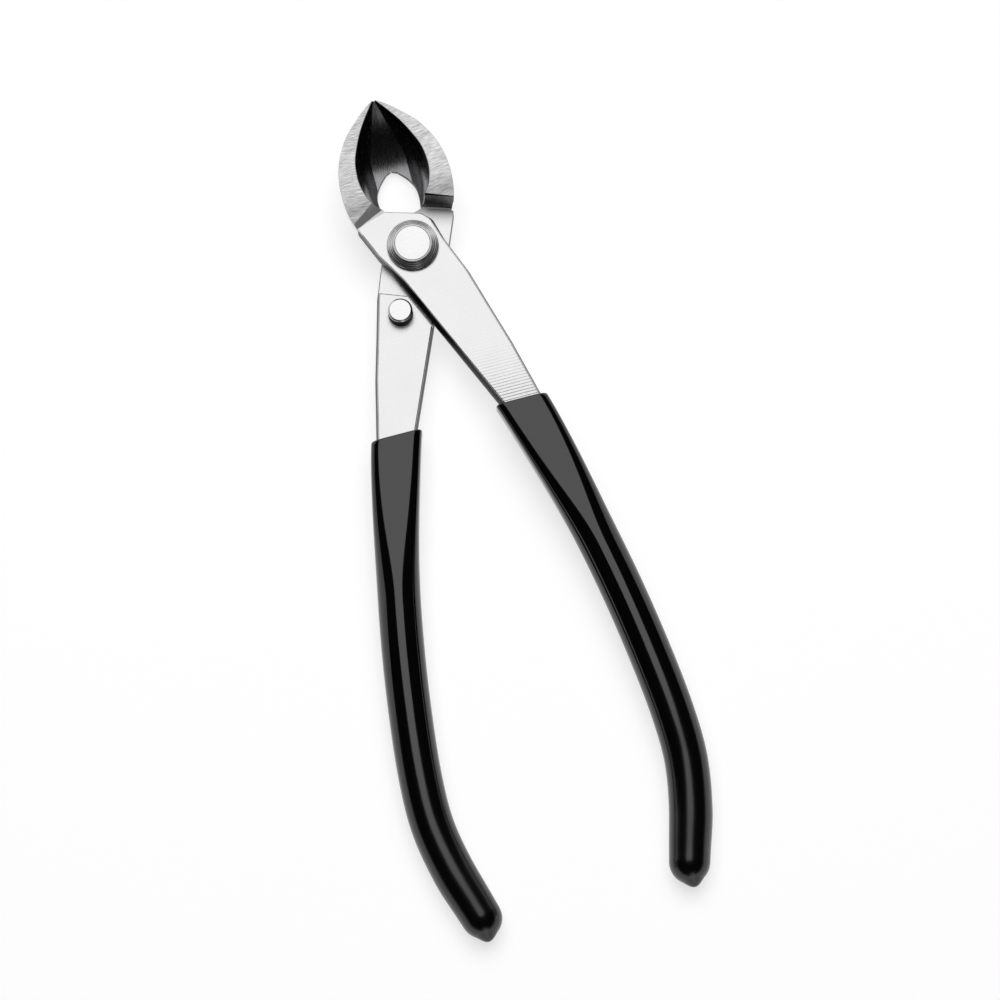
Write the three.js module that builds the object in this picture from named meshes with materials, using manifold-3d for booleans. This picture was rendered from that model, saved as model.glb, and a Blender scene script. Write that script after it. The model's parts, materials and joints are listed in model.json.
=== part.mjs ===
// Concave branch cutter: two steel levers crossed on one rivet, with dipped grips.
// Millimetres, +Z up, resting on z = 0. +Y runs to the blade tips, the handles to -Y.
// Everything is drawn about the pivot axis and moved at the end, so that the middle
// of the whole tool's box stands over the origin.
import * as THREE from 'three';
import { mergeVertices } from 'three/addons/utils/BufferGeometryUtils.js';
import Module from 'manifold-3d';

const wasm = await Module();
wasm.setup();

// Driving sizes. Reaches are measured from the pivot axis.
const tipReach = 37.8;
const bladeHeel = 5.6;
const bladeHalfWidth = 13.4;
const bladeHeight = 16.0;
const openingHalfWidth = 5.0;
const lapSide = 8.3;
const lapFront = 10.1;
const lapThickness = 5.0;
const stemThickness = 6.0;
const stemLipWidth = 10.0;
const lipReach = 43.0;
const lipOffset = 15.3;
const handleReach = 164.0;
const handleSpread = 30.5;
const gripWidth = 10.2;
const gripWall = 1.0;
const rivetRadius = 3.8;
const washerThickness = 2.4;
const tableGap = 0.95;

// Clearances.
const slideGap = 0.05;
const bladeGap = 0.15;
const seatGap = 0.15;
const runningGap = 0.07;
const lipGap = 0.1;
const sweepGap = 1.05;
const stemClear = 0.55;
const stopGap = 1.5;
const overrun = 5.0;

// How fine the faces are.
const roundSides = 48;
const gripSides = 28;
const gripSteps = 34;
const coreSides = 16;
const coreSteps = 18;
const domeSteps = 4;
const bladeSteps = 34;
const wallSteps = 9;

// Materials.
const steel = new THREE.MeshStandardMaterial({ color: 0xd9dadb, roughness: 0.32, metalness: 1 });
const turnedSteel = new THREE.MeshStandardMaterial({ color: 0xa9abad, roughness: 0.3, metalness: 1 });
const dippedPlastic = new THREE.MeshStandardMaterial({ color: 0x0b0b0c, roughness: 0.16, metalness: 0 });

// Pivot sizes. Two bevelled washers are held by a rivet whose ends are spread into them.
const rivetSpread = 0.4;
const rivetSpreadDepth = 0.9;
const rivetProud = 0.1;
const washerRim = 1.95;
const washerWall = 0.5;
const washerStep = 0.35;
const washerStepRise = 0.3;
const washerLip = 0.25;
const washerLipDrop = 0.15;
const rivetHeadRadius = rivetRadius + rivetSpread;
const washerRadius = rivetHeadRadius + washerRim;

// Heights, stacked up from the table: rivet, back washer, lower lap, upper lap.
const lowerBase = tableGap + rivetProud + washerThickness + slideGap;
const lapHeight = lowerBase + lapThickness;
const upperTop = lapHeight + lapThickness;
const lowerTop = lowerBase + stemThickness;
const upperBase = upperTop - stemThickness;

// Solids.
function solid(geometry) {
  geometry.deleteAttribute('normal');
  geometry.deleteAttribute('uv');
  const merged = mergeVertices(geometry, 1e-5);
  const vertProperties = new Float32Array(merged.attributes.position.array);
  const corners = merged.index.array;
  const kept = [];
  for (let i = 0; i < corners.length; i += 3) {
    const [a, b, c] = corners.subarray(i, i + 3);
    if (a !== b && b !== c && c !== a) kept.push(a, b, c);
  }
  const triVerts = new Uint32Array(kept);
  return new wasm.Manifold(new wasm.Mesh({ numProp: 3, vertProperties, triVerts }));
}

function mesh(name, shape, material) {
  const { vertProperties, triVerts } = shape.getMesh();
  const geometry = new THREE.BufferGeometry();
  geometry.setAttribute('position', new THREE.BufferAttribute(vertProperties, 3));
  geometry.setIndex(new THREE.BufferAttribute(triVerts, 1));
  geometry.computeVertexNormals();
  const named = new THREE.Mesh(geometry, material);
  named.name = name;
  return named;
}

// A closed body through rings of equal length, stacked roughly along Y.
function loft(rings) {
  const points = rings.flat();
  const count = rings[0].length;
  const index = [];
  for (let i = 0; i + 1 < rings.length; i += 1) {
    for (let j = 0; j < count; j += 1) {
      const a = i * count + j;
      const b = i * count + ((j + 1) % count);
      index.push(a, b, b + count, a, b + count, a + count);
    }
  }
  const last = (rings.length - 1) * count;
  index.push(...cap(rings[0]).reverse());
  index.push(...cap(rings.at(-1)).map((corner) => corner + last));
  const geometry = new THREE.BufferGeometry().setFromPoints(points);
  geometry.setIndex(index);
  const body = solid(geometry);
  if (body.volume() > 0) return body;
  geometry.setIndex(index.reverse());
  return solid(geometry);
}

// Triangles over one ring, turning the same way as the ring does.
function cap(ring) {
  const outline = ring.map((point) => new THREE.Vector2(point.x, point.z));
  const corners = THREE.ShapeUtils.triangulateShape(outline, []).flat();
  const [a, b, c] = corners.slice(0, 3).map((corner) => outline[corner]);
  const ringTurn = Math.sign(THREE.ShapeUtils.area(outline));
  const capTurn = Math.sign(THREE.ShapeUtils.area([a, b, c]));
  return ringTurn === capTurn ? corners : corners.reverse();
}

function prism(outline, low, high) {
  const shape = new THREE.Shape(outline.map(([x, y]) => new THREE.Vector2(x, y)));
  const geometry = new THREE.ExtrudeGeometry(shape, { depth: high - low, bevelEnabled: false });
  geometry.translate(0, 0, low);
  return solid(geometry);
}

// A side profile (distance forward, height) swept level along a line square to `heading`.
function sweptCut(profile, heading, halfLength) {
  const shape = new THREE.Shape(profile.map(([s, z]) => new THREE.Vector2(s, z)));
  const geometry = new THREE.ExtrudeGeometry(shape, { depth: 2 * halfLength, bevelEnabled: false });
  geometry.translate(0, 0, -halfLength);
  geometry.rotateX(Math.PI / 2);
  geometry.rotateZ(heading);
  return solid(geometry);
}

function turned(profile) {
  return solid(new THREE.LatheGeometry(
    profile.map(([r, z]) => new THREE.Vector2(r, z)), roundSides).rotateX(Math.PI / 2));
}

function hole([x, y], radius, low, high) {
  return turned([[0, low], [radius, low], [radius, high], [0, high]]).translate([x, y, 0]);
}

function mirrored(outline) {
  return outline.map(([x, y]) => [-x, y]).reverse();
}

// Blades. One is half a pointed bowl that opens upwards; its far edge is the cutting edge.
// The near rim slopes outwards as a ground face, and behind the cutting edge the two
// blades part around a drop-shaped opening. Shares run from the heel to the tip.
const outerRimShares = [[0, 0.813], [0.075, 0.903], [0.168, 0.97], [0.292, 1], [0.441, 0.978],
  [0.597, 0.873], [0.755, 0.672], [0.881, 0.396], [0.957, 0.194], [1, 0.052]];
const openingShares = [[0, 0.84], [0.143, 0.86], [0.199, 0.92], [0.261, 0.98], [0.323, 1], [0.385, 0.94],
  [0.435, 0.78], [0.478, 0.56], [0.522, 0.26], [0.559, 0], [1, 0]];
const innerRimShares = [[0, 0.321], [0.143, 0.336], [0.174, 0.433], [0.217, 0.522], [0.27, 0.582],
  [0.339, 0.627], [0.432, 0.642], [0.556, 0.604], [0.68, 0.493], [0.789, 0.366], [0.898, 0.201], [1, 0.022]];
const outerRimHeightShares = [[0, 0.85], [0.15, 0.9], [0.292, 0.945], [0.54, 0.925], [0.789, 0.866], [1, 0.824]];
const innerRimHeightShares = [[0, 0.938], [0.292, 1], [0.54, 0.963], [0.789, 0.894], [1, 0.838]];
const bowlLowestShare = 0.261;
const tipRiseShare = 0.777;
const heelRise = 3.5;
const wallLeast = 0.1;
const facetWidth = 4.3;
const facetSlope = 0.7;
const edgeLand = 0.3;
const openingLand = 1.3;
const landMostShare = 1 / 3;
const footLeastShare = 0.1;
const footMostShare = 0.55;
const footTopShare = 0.6;
const wallKneeShare = 0.35;
const wallRoundness = 2.3;
const stationCrowding = 0.9;

// A share at `way` along the blade, read off a smooth curve through a few pairs.
function smooth(shares) {
  const curve = new THREE.SplineCurve(shares.map(([way, share]) => new THREE.Vector2(way, share)));
  return (way) => {
    let low = 0;
    let high = 1;
    for (let i = 0; i < 40; i += 1) {
      const middle = (low + high) / 2;
      if (curve.getPoint(middle).x < way) low = middle;
      else high = middle;
    }
    return curve.getPoint(low).y;
  };
}

const outerRim = smooth(outerRimShares);
const innerRim = smooth(innerRimShares);
const opening = smooth(openingShares);
const outerRimHeight = smooth(outerRimHeightShares);
const innerRimHeight = smooth(innerRimHeightShares);

// The far side of the bowl is an arc that rises to the tip, and a short one to the heel.
function farSide(y) {
  const lowest = THREE.MathUtils.lerp(bladeHeel, tipReach, bowlLowestShare);
  const back = Math.min(1, (lowest - y) / (lowest - bladeHeel));
  if (y < lowest) return heelRise * (1 - Math.sqrt(1 - back * back));
  const run = tipReach - lowest;
  const rise = Math.min(run, bladeHeight * tipRiseShare);
  const radius = (run ** 2 + rise ** 2) / (2 * rise);
  return radius - Math.sqrt(radius ** 2 - (y - lowest) ** 2);
}

function bladeSection(way) {
  const y = THREE.MathUtils.lerp(bladeHeel, tipReach, way);
  const low = farSide(y);
  const edge = Math.max(bladeGap, openingHalfWidth * opening(way));
  const outer = bladeHalfWidth * outerRim(way);
  const inner = Math.min(outer, Math.max(edge + wallLeast, bladeHalfWidth * innerRim(way)));
  const outerTop = bladeHeight * outerRimHeight(way);
  const innerTop = bladeHeight * innerRimHeight(way);
  const ring = [];
  const power = 2 / wallRoundness;
  for (let i = 0; i <= wallSteps * 2; i += 1) {
    const t = (i / (wallSteps * 2)) * (Math.PI / 2);
    ring.push([
      THREE.MathUtils.lerp(edge, outer, Math.cos(t) ** power),
      THREE.MathUtils.lerp(outerTop, low, Math.sin(t) ** power)]);
  }
  const parted = Math.min(1, (edge - bladeGap) / (facetWidth - bladeGap));
  const wantedLand = THREE.MathUtils.lerp(edgeLand, openingLand, parted);
  const land = Math.min(wantedLand, (innerTop - low) * landMostShare);
  const footLeast = THREE.MathUtils.lerp(edge, inner, footLeastShare);
  const footX = Math.max(footLeast, Math.min(facetWidth, THREE.MathUtils.lerp(edge, inner, footMostShare)));
  const footZ = Math.min(low + land + (footX - edge) * facetSlope, low + (innerTop - low) * footTopShare);
  ring.push([edge, low + land]);
  const wall = new THREE.QuadraticBezierCurve(
    new THREE.Vector2(footX, footZ),
    new THREE.Vector2(inner, THREE.MathUtils.lerp(footZ, innerTop, wallKneeShare)),
    new THREE.Vector2(inner, innerTop));
  for (const point of wall.getPoints(wallSteps)) ring.push([point.x, point.y]);
  return ring.map(([x, z]) => new THREE.Vector3(x, y, z));
}

// Stations crowd towards the tip, where the blade is slender.
function blade() {
  const rings = [];
  for (let i = 0; i <= bladeSteps; i += 1) {
    const quarter = (i / bladeSteps) * (Math.PI / 2);
    rings.push(bladeSection(Math.sin(quarter) ** stationCrowding));
  }
  return loft(rings);
}

// Levers. Both have the same plan, drawn for the upper one, whose handle goes to +X.
// The lap is nearly square-edged and the stem behind it has drafted flanks.
const lapShares = [[-1.145, 0.921], [-0.542, 1], [0.506, 0.772], [0.663, 0.703], [0.759, 0.584],
  [0.819, 0.416], [0.94, 0.03], [1.169, -0.554], [0.482, -1.188], [-0.675, -0.673], [-0.795, -0.376],
  [-1, -0.03], [-1.398, 0.752]];
const lapShoulder = { first: 2, last: 5 };
const stemOuterShares = [[0, 0], [0.289, 0.215], [0.5, 0.435], [0.727, 0.667], [1, 1]];
const stemOuterStartShare = [0.94, 0.03];
const stemInnerStartShare = [-0.867, -0.257];
const lapFlare = 0.25;
const lapFlankShare = 0.133;
const stemFlare = 0.85;
const stemFlankShare = 0.4;

function lapPoint([xShare, yShare]) {
  return [xShare * lapSide, yShare * lapFront];
}

const lapOutline = lapShares.map(lapPoint);
const stemEnd = -(lipReach - lipGap);
const innerStart = lapPoint(stemInnerStartShare);
const innerEnd = [lipOffset - stemLipWidth / 2, stemEnd];
const outerStart = lapPoint(stemOuterStartShare);
const outerEnd = [lipOffset + stemLipWidth / 2, stemEnd];
const stemOutline = [
  ...stemOuterShares.map(([xShare, yShare]) => [
    THREE.MathUtils.lerp(outerStart[0], outerEnd[0], xShare),
    THREE.MathUtils.lerp(outerStart[1], outerEnd[1], yShare)]),
  innerEnd, innerStart];

// A point beside the stem's inner edge, at a distance behind its start and off the edge.
function besideStem(behind, off) {
  const length = Math.hypot(innerEnd[0] - innerStart[0], innerEnd[1] - innerStart[1]);
  const [aheadX, aheadY] = [(innerEnd[0] - innerStart[0]) / length, (innerEnd[1] - innerStart[1]) / length];
  return [innerStart[0] + aheadX * behind + aheadY * off, innerStart[1] + aheadY * behind - aheadX * off];
}

// Each lever is thinned under or over the other's lap, up to a step behind the pivot and
// to a line that clears the other stem. Drawn for the lower lever.
const stepBehind = 8.3;
const stepLean = 0.375;
const wide = 2 * handleSpread;

function thinning() {
  const corner = besideStem(stepBehind, stemClear);
  const far = besideStem(lipReach, stemClear);
  const start = [-wide, corner[1] + (wide + corner[0]) * Math.tan(stepLean)];
  return [start, corner, far, [wide, far[1]], [wide, wide], [-wide, wide]];
}

// The corner of a lap sweeps this far from the pivot, and both blades stay clear of it.
const shoulderReach = Math.max(
  ...lapOutline.slice(lapShoulder.first, lapShoulder.last + 1).map(([x, y]) => Math.hypot(x, y)));
const sweepRadius = shoulderReach + sweepGap;

// Behind the right blade the lower lever has a flat seat and a hollow fillet, and behind
// the left blade the upper lever has a ramp. Profiles are distance forward and rise.
const filletShares = [[0.03, 0], [0.46, 0.15], [0.73, 0.58], [0.88, 1.23]];
const filletSize = 2.6;
const seatHeading = Math.PI / 2 - 0.33;
const rampHeading = Math.PI / 2 - 0.335;
const rampReach = 11.8;
const rampRunShare = 1.067;

function lowerSeat() {
  const top = bladeHeight + overrun - lapHeight;
  const fillet = filletShares.map(([run, rise]) => [sweepRadius + run * filletSize, rise * filletSize]);
  const profile = [[-sweepRadius, 0], ...fillet, [sweepRadius + filletSize, top], [-sweepRadius, top]];
  return sweptCut(profile, seatHeading, wide).translate([0, 0, lapHeight - slideGap]);
}

function upperRamp() {
  const top = bladeHeight + overrun - upperTop;
  const profile = [[-rampReach, 0], [rampReach, 0], [rampReach + top * rampRunShare, top], [-rampReach, top]];
  return sweptCut(profile, rampHeading, wide).translate([0, 0, upperTop]);
}

function plate(outline, low, flare, flankShare) {
  const flank = stemThickness * flankShare;
  const shape = new THREE.Shape(outline.map(([x, y]) => new THREE.Vector2(x, y)));
  const geometry = new THREE.ExtrudeGeometry(shape, {
    depth: stemThickness - 2 * flank,
    bevelThickness: flank,
    bevelSize: flare,
    bevelOffset: -flare,
    bevelSegments: 1,
  });
  geometry.translate(0, 0, low + flank);
  return solid(geometry);
}

// Handles. A bar runs on from each stem, flat at first and round further down, and bows
// out and in again. Its height falls until the grip's end lies on the table. Shares go
// from the grip's lip outwards and backwards.
const handleShares = [[-0.171, -0.058], [0, 0], [0.336, 0.157], [0.66, 0.347], [0.868, 0.512],
  [0.997, 0.669], [1, 0.76], [0.875, 0.851], [0.7, 0.926], [0.52, 1]];
const lipSquareness = 5;
const flatUntilShare = 0.05;
const roundFromShare = 0.36;
const coreStartShare = 0.03;
const coreEndShare = 0.95;
const pocketEndShare = 0.96;
const lipWidth = stemLipWidth + 2 * gripWall;
const lipThickness = stemThickness + 2 * gripWall;

function handlePath(side, startHeight) {
  const endHeight = gripWidth / 2;
  const points = handleShares.map(([out, back], i) => new THREE.Vector3(
    side * THREE.MathUtils.lerp(lipOffset, handleSpread, out),
    -THREE.MathUtils.lerp(lipReach, handleReach, back),
    THREE.MathUtils.lerp(startHeight, endHeight, THREE.MathUtils.smoothstep(i, 0, handleShares.length - 2))));
  return new THREE.CatmullRomCurve3(points, false, 'centripetal');
}

// Stations along the handle as [share of its length, share of full section]. A dome is
// a quarter round at the far end.
function stations(path, from, to, steps, domeRadius) {
  const dome = domeRadius / path.getLength();
  const list = [];
  for (let i = 0; i <= steps; i += 1) list.push([THREE.MathUtils.lerp(from, to - dome, i / steps), 1]);
  for (let i = 1; i <= domeSteps && dome > 0; i += 1) {
    const angle = (i / (domeSteps + 1)) * (Math.PI / 2);
    list.push([to - dome * (1 - Math.sin(angle)), Math.cos(angle)]);
  }
  return list;
}

function handleBody(path, places, inset, sides) {
  const rings = places.map(([way, fullness]) => {
    const centre = path.getPointAt(way);
    const ahead = path.getTangentAt(way);
    const across = new THREE.Vector3().crossVectors(ahead, new THREE.Vector3(0, 0, 1)).normalize();
    const up = new THREE.Vector3().crossVectors(across, ahead);
    const rounding = THREE.MathUtils.smoothstep(way, flatUntilShare, roundFromShare);
    const width = fullness * (THREE.MathUtils.lerp(lipWidth, gripWidth, rounding) - 2 * inset);
    const height = fullness * (THREE.MathUtils.lerp(lipThickness, gripWidth, rounding) - 2 * inset);
    const power = 2 / THREE.MathUtils.lerp(lipSquareness, 2, rounding);
    const ring = [];
    for (let j = 0; j < sides; j += 1) {
      const angle = (j / sides) * 2 * Math.PI;
      const x = Math.sign(Math.cos(angle)) * Math.abs(Math.cos(angle)) ** power * width / 2;
      const z = Math.sign(Math.sin(angle)) * Math.abs(Math.sin(angle)) ** power * height / 2;
      ring.push(centre.clone().addScaledVector(across, x).addScaledVector(up, z));
    }
    return ring;
  });
  return loft(rings);
}

function handleCore(side, base) {
  const path = handlePath(side, base + stemThickness / 2);
  return handleBody(path, stations(path, coreStartShare, coreEndShare, coreSteps, 0), gripWall, coreSides);
}

// Grips, dipped over the handles down to one line square to the tool.
function grip(side, base) {
  const path = handlePath(side, base + stemThickness / 2);
  const skin = handleBody(path, stations(path, 0, 1, gripSteps, gripWidth / 2), 0, gripSides);
  const hollow = stations(path, 0, pocketEndShare, coreSteps, 0);
  const pocket = handleBody(path, hollow, gripWall - seatGap, coreSides);
  const ahead = [[-wide, -lipReach], [wide, -lipReach], [wide, 0], [-wide, 0]];
  return skin.subtract(pocket).subtract(prism(ahead, -overrun, upperTop + overrun));
}

// Stop pin, pressed through the lower stem; it limits how far the upper one can close.
const stopRadius = 2.95;
const stopChamfer = 0.4;
const stopHeight = 3.6;
const stopBehind = 11.0;
const stopPlace = besideStem(stopBehind, stopRadius + stopGap);

function stopPin(low, high) {
  return turned([
    [0, low], [stopRadius - stopChamfer, low], [stopRadius, low + stopChamfer],
    [stopRadius, high - stopChamfer], [stopRadius - stopChamfer, high], [0, high],
  ]).translate([...stopPlace, 0]);
}

function lowerLever() {
  const lap = plate(mirrored(lapOutline), lowerBase, lapFlare, lapFlankShare);
  const stem = plate(mirrored(stemOutline), lowerBase, stemFlare, stemFlankShare);
  const bars = lap.add(stem).subtract(prism(thinning(), lapHeight - slideGap, lowerTop + overrun));
  const head = blade().subtract(lowerSeat());
  return bars.add(head).add(handleCore(-1, lowerBase))
    .subtract(hole([0, 0], rivetRadius + runningGap, -overrun, upperTop + overrun))
    .subtract(hole(stopPlace, stopRadius + slideGap, -overrun, lowerTop + overrun));
}

function upperLever() {
  const lap = plate(lapOutline, upperBase, lapFlare, lapFlankShare);
  const stem = plate(stemOutline, upperBase, stemFlare, stemFlankShare);
  const bars = lap.add(stem).subtract(prism(mirrored(thinning()), -overrun, lapHeight + slideGap));
  const head = blade().subtract(upperRamp()).mirror([1, 0, 0])
    .subtract(hole([0, 0], sweepRadius, -overrun, lapHeight + slideGap));
  return bars.add(head).add(handleCore(1, upperBase))
    .subtract(hole([0, 0], rivetRadius + runningGap, -overrun, upperTop + overrun));
}

function washer() {
  const bore = rivetRadius + runningGap;
  const mouth = rivetHeadRadius + runningGap;
  return turned([
    [bore, 0], [washerRadius, 0], [washerRadius, washerWall],
    [washerRadius - washerStep, washerWall + washerStepRise],
    [mouth + washerLip, washerThickness - washerLipDrop], [mouth, washerThickness],
    [bore, washerThickness - rivetSpreadDepth], [bore, 0],
  ]);
}

function pivotRivet() {
  const low = lowerBase - slideGap - washerThickness - rivetProud;
  const high = upperTop + slideGap + washerThickness + rivetProud;
  return turned([
    [0, low], [rivetHeadRadius, low], [rivetRadius, low + rivetSpreadDepth],
    [rivetRadius, high - rivetSpreadDepth], [rivetHeadRadius, high], [0, high],
  ]);
}

// The tool, centred over the origin along its length.
const tool = new THREE.Group();
tool.add(mesh('lower_lever', lowerLever(), steel));
tool.add(mesh('upper_lever', upperLever(), steel));
tool.add(mesh('front_washer', washer().translate([0, 0, upperTop + slideGap]), turnedSteel));
tool.add(mesh('back_washer', washer().mirror([0, 0, 1]).translate([0, 0, lowerBase - slideGap]),
  turnedSteel));
tool.add(mesh('pivot_rivet', pivotRivet(), steel));
tool.add(mesh('stop_pin', stopPin(lowerBase, lowerTop + stopHeight), steel));
tool.add(mesh('lower_grip', grip(-1, lowerBase), dippedPlastic));
tool.add(mesh('upper_grip', grip(1, upperBase), dippedPlastic));
tool.position.y = (handleReach - tipReach) / 2;

const group = new THREE.Group();
group.add(tool);
export default group;
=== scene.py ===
"""A concave branch cutter for bonsai: steel levers crossed on a rivet, with dipped grips."""
import json
import math

import bmesh
import bpy
from mathutils import Matrix, Vector

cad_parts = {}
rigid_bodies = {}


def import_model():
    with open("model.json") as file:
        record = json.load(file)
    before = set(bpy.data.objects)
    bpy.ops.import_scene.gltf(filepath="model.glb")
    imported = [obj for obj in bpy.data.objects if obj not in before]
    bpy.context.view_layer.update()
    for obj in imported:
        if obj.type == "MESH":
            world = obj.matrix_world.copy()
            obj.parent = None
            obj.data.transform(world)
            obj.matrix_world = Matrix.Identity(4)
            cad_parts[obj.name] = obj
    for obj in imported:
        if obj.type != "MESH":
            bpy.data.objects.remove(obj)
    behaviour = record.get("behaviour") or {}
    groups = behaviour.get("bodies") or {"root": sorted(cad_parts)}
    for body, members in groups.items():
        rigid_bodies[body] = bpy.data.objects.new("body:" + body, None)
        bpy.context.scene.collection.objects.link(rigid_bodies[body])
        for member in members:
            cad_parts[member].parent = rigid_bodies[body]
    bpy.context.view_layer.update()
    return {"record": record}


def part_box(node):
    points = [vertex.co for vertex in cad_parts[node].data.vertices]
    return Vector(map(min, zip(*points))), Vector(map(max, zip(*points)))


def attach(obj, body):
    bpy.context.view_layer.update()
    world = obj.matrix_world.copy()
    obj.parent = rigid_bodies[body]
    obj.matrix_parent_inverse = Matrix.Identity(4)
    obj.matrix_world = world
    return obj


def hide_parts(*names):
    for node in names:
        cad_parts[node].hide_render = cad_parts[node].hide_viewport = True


for left_over in list(bpy.data.objects):
    bpy.data.objects.remove(left_over)
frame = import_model()

# Camera
# The tool is seen from a metre above the sheet, leaning towards the handles, and is
# turned so that its tip points up and a little to the left.
MM = 0.001
pivot = Vector(frame["record"]["behaviour"]["joints"][0]["pos_m"])
rivet_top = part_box("pivot_rivet")[1].z
camera_lean = math.radians(13.5)
camera_heading = math.radians(-10)
picture_roll = math.radians(15.2)
camera_distance = 0.9844
picture_pixels = 1000
focal_pixels = 4140
rivet_pixel = (412.4, 242.7)

backwards = Vector((
    math.sin(camera_lean) * math.sin(camera_heading),
    -math.sin(camera_lean) * math.cos(camera_heading),
    math.cos(camera_lean)))
tool_up = Vector((0, 1, 0)) - backwards * backwards.y
tool_up.normalize()
picture_up = Matrix.Rotation(-picture_roll, 3, backwards) @ tool_up
picture_right = picture_up.cross(backwards)
metres_per_pixel = camera_distance / focal_pixels
rivet_right = (rivet_pixel[0] - picture_pixels / 2) * metres_per_pixel
rivet_up = (picture_pixels / 2 - rivet_pixel[1]) * metres_per_pixel
camera = bpy.data.objects.new("camera", bpy.data.cameras.new("camera"))
camera.data.sensor_width = 36
camera.data.lens = camera.data.sensor_width * focal_pixels / picture_pixels
camera.matrix_world = Matrix((
    (picture_right.x, picture_up.x, backwards.x, 0),
    (picture_right.y, picture_up.y, backwards.y, 0),
    (picture_right.z, picture_up.z, backwards.z, 0),
    (0, 0, 0, 1)))
camera.location = (
    Vector((pivot.x, pivot.y, rivet_top))
    + backwards * camera_distance
    - picture_right * rivet_right
    - picture_up * rivet_up)
bpy.context.scene.collection.objects.link(camera)
bpy.context.scene.camera = camera


# Levers
# Each lever is one forging of carbon steel: half a hollow bowl with a cutting edge, a lap
# thinned to cross the other's, a stem, and a bar inside the grip. It is ground on belts
# and filed at the seat, and its flanks are painted nearly black as shade.
def tone(hexa):
    """The linear colour of an sRGB hex value."""
    parts = [int(hexa[i:i + 2], 16) / 255 for i in (0, 2, 4)]
    return (*[c / 12.92 if c <= 0.04045 else ((c + 0.055) / 1.055) ** 2.4 for c in parts], 1)


def node(tree, kind, links=None, **settings):
    """Adds a node; settings are its properties, and links its sockets' values or sources."""
    made = tree.nodes.new(kind)
    for name, value in settings.items():
        setattr(made, name, value)
    for name, value in (links or {}).items():
        socket = made.inputs[name]
        if isinstance(value, bpy.types.NodeSocket):
            tree.links.new(value, socket)
        else:
            socket.default_value = value
    return made


def finish_of(name):
    """A new material, its tree, and its Principled shader."""
    material = bpy.data.materials.new(name)
    material.use_nodes = True
    return material, material.node_tree, material.node_tree.nodes["Principled BSDF"]


# The nearly black tones of painted shade.
painted_shade_tones = ("1c1c1d", "39393b")


def ground_steel(name, colours, roughness, heading, pitch, depth, marks=None, shade_mask=None):
    """Steel ground one way: streaks of a pitch and depth in mm, at a heading in degrees.

    Each streak is many pitches long, and clouds some millimetres wide make the polish
    uneven. Marks add to the streaks' height, and a shade mask says where painted shade
    darkens the steel.
    """
    streak_pitches, cloud_size, cloud_share = (14, 1, 6), 6, 0.3
    material, tree, shader = finish_of(name)
    shader.inputs["Metallic"].default_value = 1
    place = node(tree, "ShaderNodeTexCoord").outputs["Object"]
    along = node(tree, "ShaderNodeMapping", {
        "Vector": place, "Rotation": (0, 0, -math.radians(heading))}).outputs["Vector"]
    streaked = node(tree, "ShaderNodeVectorMath", {
        0: along, 1: [1 / (size * pitch * MM) for size in streak_pitches]},
        operation="MULTIPLY").outputs[0]
    streaks = node(tree, "ShaderNodeTexNoise", {
        "Vector": streaked, "Scale": 1, "Detail": 3, "Roughness": 0.65}).outputs["Fac"]
    clouds = node(tree, "ShaderNodeTexNoise", {
        "Vector": place, "Scale": 1 / (cloud_size * MM), "Detail": 3}).outputs["Fac"]
    bump = node(tree, "ShaderNodeBump", {
        "Height": marks(tree, place, streaks) if marks else streaks, "Strength": 1,
        "Distance": depth * MM}).outputs["Normal"]
    uneven = node(tree, "ShaderNodeMath", {
        0: clouds, 1: cloud_share, 2: streaks}, operation="MULTIPLY_ADD").outputs[0]
    dulled = node(tree, "ShaderNodeMapRange", {
        "Value": uneven, "From Min": 0.4, "From Max": 0.9, "To Min": roughness - 0.02,
        "To Max": roughness + 0.04}).outputs["Result"]
    streak_tone = node(tree, "ShaderNodeMapRange", {
        "Value": streaks, "From Min": 0.3, "From Max": 0.7}).outputs["Result"]
    dark, light = (tone(colour) for colour in colours)
    colour = node(tree, "ShaderNodeMix", {
        0: streak_tone, 6: dark, 7: light}, data_type="RGBA").outputs[2]
    # Painted shade: the mask darkens the colour towards the nearly black tone.
    if shade_mask:
        colour = node(tree, "ShaderNodeMix", {
            0: shade_mask(tree, place), 6: colour, 7: tone(painted_shade_tones[0])},
            data_type="RGBA").outputs[2]
    tree.links.new(colour, shader.inputs["Base Color"])
    tree.links.new(dulled, shader.inputs["Roughness"])
    tree.links.new(bump, shader.inputs["Normal"])
    return material


# A Wave texture at scale 1 repeats after this many units.
wave_period = math.pi / 10


def cutter_marks(tree, place, streaks):
    """Adds the ridges that a milling cutter left across the stem near the grip.

    Between the first mark and the full ones, in mm behind the pivot, they grow to many
    times the height of the streaks.
    """
    mark_pitch, mark_height, first_mark, full_marks = 0.75, 45, 22, 42
    ridges = node(tree, "ShaderNodeTexWave", {
        "Vector": place, "Scale": wave_period / (mark_pitch * MM), "Distortion": 0.4,
        "Detail": 1, "Detail Scale": 0.02}, wave_type="BANDS", bands_direction="Y").outputs["Fac"]
    length_way = node(tree, "ShaderNodeSeparateXYZ", {0: place}).outputs["Y"]
    fade = node(tree, "ShaderNodeMapRange", {
        "Value": length_way, "From Min": pivot.y - full_marks * MM,
        "From Max": pivot.y - first_mark * MM, "To Min": mark_height,
        "To Max": 0}).outputs["Result"]
    faded = node(tree, "ShaderNodeMath", {0: ridges, 1: fade}, operation="MULTIPLY").outputs[0]
    return node(tree, "ShaderNodeMath", {0: faded, 1: streaks}, operation="ADD").outputs[0]


# The seat beside the blade faces this way, clear of the circle that the laps sweep.
seat_heading, sweep_radius = math.pi / 2 - 0.33, 10.03


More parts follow.
